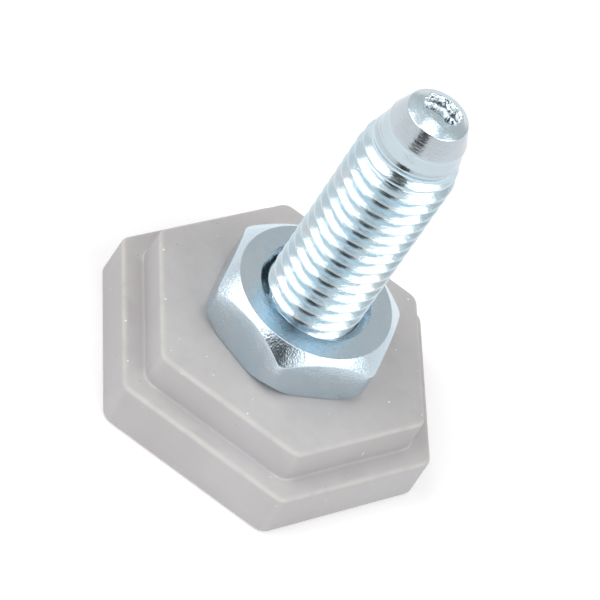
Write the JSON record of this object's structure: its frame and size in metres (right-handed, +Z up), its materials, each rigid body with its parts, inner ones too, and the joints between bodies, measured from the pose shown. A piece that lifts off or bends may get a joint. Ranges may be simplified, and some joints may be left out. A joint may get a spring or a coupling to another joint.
{
  "type": "washing machine foot",
  "caption": "Levelling foot with a two-tier hexagonal moulded base, a threaded steel stud standing up from it and a hexagon lock nut on the stud.",
  "frame": {"origin": "middle of the sole, on the ground", "axes": "+Z up along the stud; two opposite corners of the base's hexagon on X, two of its flats facing Y"},
  "size_m": [0.0368, 0.0322, 0.042],
  "materials": {
    "base_plastic": "matte light grey, moulded",
    "stud_steel": "zinc plated, bluish, half bright",
    "nut_steel": "zinc plated, bluish, half bright"
  },
  "bodies": {
    "foot": {"hex_base": "base_plastic", "stud": "stud_steel"},
    "lock_nut": {"lock_nut": "nut_steel"}
  },
  "joints": [
    {"name": "lock_nut_travel", "type": "slide", "parent": "foot", "child": "lock_nut", "axis": [0, 0, 1], "range_m": [0, 0.0195]}
  ]
}
